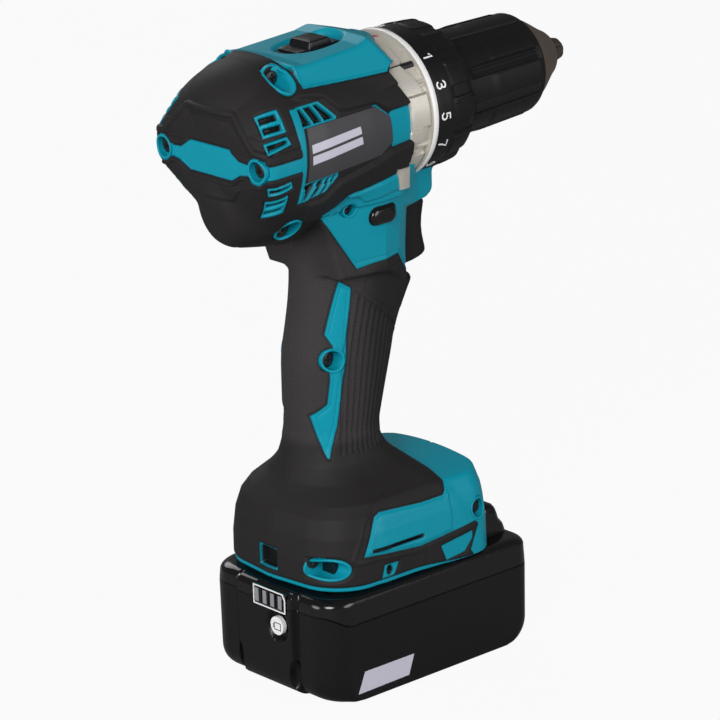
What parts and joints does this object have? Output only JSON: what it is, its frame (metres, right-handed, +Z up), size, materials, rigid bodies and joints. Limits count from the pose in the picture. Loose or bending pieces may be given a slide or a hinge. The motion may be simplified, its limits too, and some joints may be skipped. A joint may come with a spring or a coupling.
{
  "type": "cordless drill driver",
  "caption": "Compact cordless drill driver with a keyless three-jaw chuck, torque collar, two-speed selector, trigger, direction lever and a slide-on battery foot.",
  "frame": {"origin": "on the surface the tool stands on, under the middle of the battery", "axes": "+X forward, toward the chuck; +Y to the left of the tool; +Z up. The spindle axis lies in the XZ plane and rises 3 degrees toward the chuck"},
  "size_m": [0.1871, 0.0744, 0.2609],
  "materials": {
    "teal_plastic": "satin",
    "black_rubber": "grained",
    "steel": "satin",
    "silver_casting": "fine blasted",
    "bronze_steel": "dark satin",
    "black_plastic": "satin",
    "gloss_black": "polished",
    "green_board": "satin",
    "white_plastic": "satin",
    "grey_window": "polished",
    "cell_wrap": "gloss"
  },
  "bodies": {
    "drill": {"housing_right": "teal_plastic", "housing_left": "teal_plastic", "grip_right": "black_rubber", "grip_left": "black_rubber", "rear_cover": "teal_plastic", "rear_cover_grip": "black_rubber", "housing_screws": "steel", "rear_screws": "steel", "gear_case": "silver_casting", "gear_case_screws": "steel", "motor_bracket": "black_plastic", "bearings": "steel", "stator": "steel", "sensor_board": "green_board", "controller": "green_board", "switch_body": "black_plastic", "terminal_block": "black_plastic", "lamp": "white_plastic", "side_nuts": "steel", "ring_gear_1": "steel", "ring_gear_3": "steel", "clutch_pins": "steel", "clutch_plate": "steel", "clutch_spring": "steel", "trigger_spring": "steel"},
    "collar": {"torque_collar": "black_plastic"},
    "clutch_slider": {"clutch_nut": "black_plastic"},
    "rotor": {"rotor_shaft": "steel", "rotor_core": "steel", "fan": "black_plastic"},
    "mid_train": {"carrier_1": "steel", "planets_2": "steel", "carrier_2": "steel"},
    "shifter": {"shift_ring": "steel"},
    "planet_1a": {"planet_1a": "steel"},
    "planet_1b": {"planet_1b": "steel"},
    "planet_1c": {"planet_1c": "steel"},
    "planet_3a": {"planet_3a": "steel"},
    "planet_3b": {"planet_3b": "steel"},
    "planet_3c": {"planet_3c": "steel"},
    "output": {"spindle": "steel", "chuck_body": "bronze_steel", "chuck_screw": "steel"},
    "sleeve": {"chuck_sleeve": "black_plastic", "chuck_nut": "steel"},
    "jaw_1": {"jaw_1": "steel"},
    "jaw_2": {"jaw_2": "steel"},
    "jaw_3": {"jaw_3": "steel"},
    "trigger": {"trigger": "black_plastic"},
    "direction_lever": {"direction_lever": "gloss_black"},
    "speed_selector": {"speed_selector": "black_plastic"},
    "battery": {"battery_lower": "gloss_black", "battery_upper": "gloss_black", "battery_cells": "cell_wrap", "battery_board": "green_board", "battery_screws": "steel", "gauge_window": "grey_window"},
    "latch": {"latch_button": "black_plastic"},
    "gauge_push": {"gauge_button": "white_plastic"}
  },
  "joints": [
    {"name": "spindle_spin", "type": "hinge", "parent": "drill", "child": "output", "pos_m": [0.01997, 0, 0.22705], "axis": [0.9986, 0, 0.0523], "continuous": true},
    {"name": "mid_spin", "type": "hinge", "parent": "drill", "child": "mid_train", "pos_m": [0, 0, 0.226], "axis": [0.9986, 0, 0.0523], "continuous": true},
    {"name": "rotor_spin", "type": "hinge", "parent": "drill", "child": "rotor", "pos_m": [-0.03995, 0, 0.22391], "axis": [0.9986, 0, 0.0523], "continuous": true},
    {"name": "collar_turn", "type": "hinge", "parent": "drill", "child": "collar", "pos_m": [0.02596, 0, 0.22736], "axis": [0.9986, 0, 0.0523], "range_deg": [0, 304]},
    {"name": "clutch_nut_slide", "type": "slide", "parent": "drill", "child": "clutch_slider", "axis": [0.9986, 0, 0.0523], "range_m": [0, 0.006], "deforming": ["clutch_spring"]},
    {"name": "speed_shift", "type": "slide", "parent": "drill", "child": "speed_selector", "axis": [0.9986, 0, 0.0523], "range_m": [0, 0.006]},
    {"name": "shift_ring_slide", "type": "slide", "parent": "mid_train", "child": "shifter", "axis": [0.9986, 0, 0.0523], "range_m": [0, 0.006]},
    {"name": "planet_1a_spin", "type": "hinge", "parent": "mid_train", "child": "planet_1a", "pos_m": [-0.01438, 0, 0.21376], "axis": [0.9986, 0, 0.0523], "continuous": true},
    {"name": "planet_1b_spin", "type": "hinge", "parent": "mid_train", "child": "planet_1b", "pos_m": [-0.01528, 0.00994, 0.23095], "axis": [0.9986, 0, 0.0523], "continuous": true},
    {"name": "planet_1c_spin", "type": "hinge", "parent": "mid_train", "child": "planet_1c", "pos_m": [-0.01528, -0.00994, 0.23095], "axis": [0.9986, 0, 0.0523], "continuous": true},
    {"name": "planet_3a_spin", "type": "hinge", "parent": "output", "child": "planet_3a", "pos_m": [0.00666, 0, 0.21358], "axis": [0.9986, 0, 0.0523], "continuous": true},
    {"name": "planet_3b_spin", "type": "hinge", "parent": "output", "child": "planet_3b", "pos_m": [0.00566, 0.01104, 0.23268], "axis": [0.9986, 0, 0.0523], "continuous": true},
    {"name": "planet_3c_spin", "type": "hinge", "parent": "output", "child": "planet_3c", "pos_m": [0.00566, -0.01104, 0.23268], "axis": [0.9986, 0, 0.0523], "continuous": true},
    {"name": "chuck_turn", "type": "hinge", "parent": "output", "child": "sleeve", "pos_m": [0.05992, 0, 0.22914], "axis": [0.9986, 0, 0.0523], "range_deg": [0, 2340]},
    {"name": "jaw_1_slide", "type": "slide", "parent": "output", "child": "jaw_1", "axis": [-0.9763, 0, 0.2164], "range_m": [0, 0.0247]},
    {"name": "jaw_2_slide", "type": "slide", "parent": "output", "child": "jaw_2", "axis": [-0.9553, -0.2314, -0.1839], "range_m": [0, 0.0247]},
    {"name": "jaw_3_slide", "type": "slide", "parent": "output", "child": "jaw_3", "axis": [-0.9553, 0.2314, -0.1839], "range_m": [0, 0.0247]},
    {"name": "trigger_pull", "type": "slide", "parent": "drill", "child": "trigger", "axis": [-1, 0, 0], "range_m": [0, 0.007], "stiffness_N_per_m": 1200, "springref_m": -0.004, "deforming": ["trigger_spring"]},
    {"name": "direction_push", "type": "slide", "parent": "drill", "child": "direction_lever", "axis": [0, 1, 0], "range_m": [-0.003, 0.003]},
    {"name": "battery_slide", "type": "slide", "parent": "drill", "child": "battery", "axis": [1, 0, 0], "range_m": [0, 0.085]},
    {"name": "latch_press", "type": "slide", "parent": "battery", "child": "latch", "axis": [0, 0, -1], "range_m": [0, 0.003], "stiffness_N_per_m": 1500, "springref_m": -0.002},
    {"name": "gauge_press", "type": "slide", "parent": "battery", "child": "gauge_push", "axis": [1, 0, 0], "range_m": [0, 0.0008], "stiffness_N_per_m": 1500, "springref_m": -0.001}
  ],
  "couplings": [
    {"joint": "mid_spin", "follows": "spindle_spin", "ratio": 3.3333},
    {"joint": "rotor_spin", "follows": "spindle_spin", "ratio": 12},
    {"joint": "planet_1a_spin", "follows": "spindle_spin", "ratio": -10.833},
    {"joint": "planet_1b_spin", "follows": "spindle_spin", "ratio": -10.833},
    {"joint": "planet_1c_spin", "follows": "spindle_spin", "ratio": -10.833},
    {"joint": "planet_3a_spin", "follows": "spindle_spin", "ratio": -3.5},
    {"joint": "planet_3b_spin", "follows": "spindle_spin", "ratio": -3.5},
    {"joint": "planet_3c_spin", "follows": "spindle_spin", "ratio": -3.5},
    {"joint": "clutch_nut_slide", "follows": "collar_turn", "m_per_rad": 0.0011308},
    {"joint": "shift_ring_slide", "follows": "speed_shift", "ratio": 1},
    {"joint": "jaw_1_slide", "follows": "chuck_turn", "m_per_rad": 0.00060472},
    {"joint": "jaw_2_slide", "follows": "chuck_turn", "m_per_rad": 0.00060472},
    {"joint": "jaw_3_slide", "follows": "chuck_turn", "m_per_rad": 0.00060472}
  ]
}
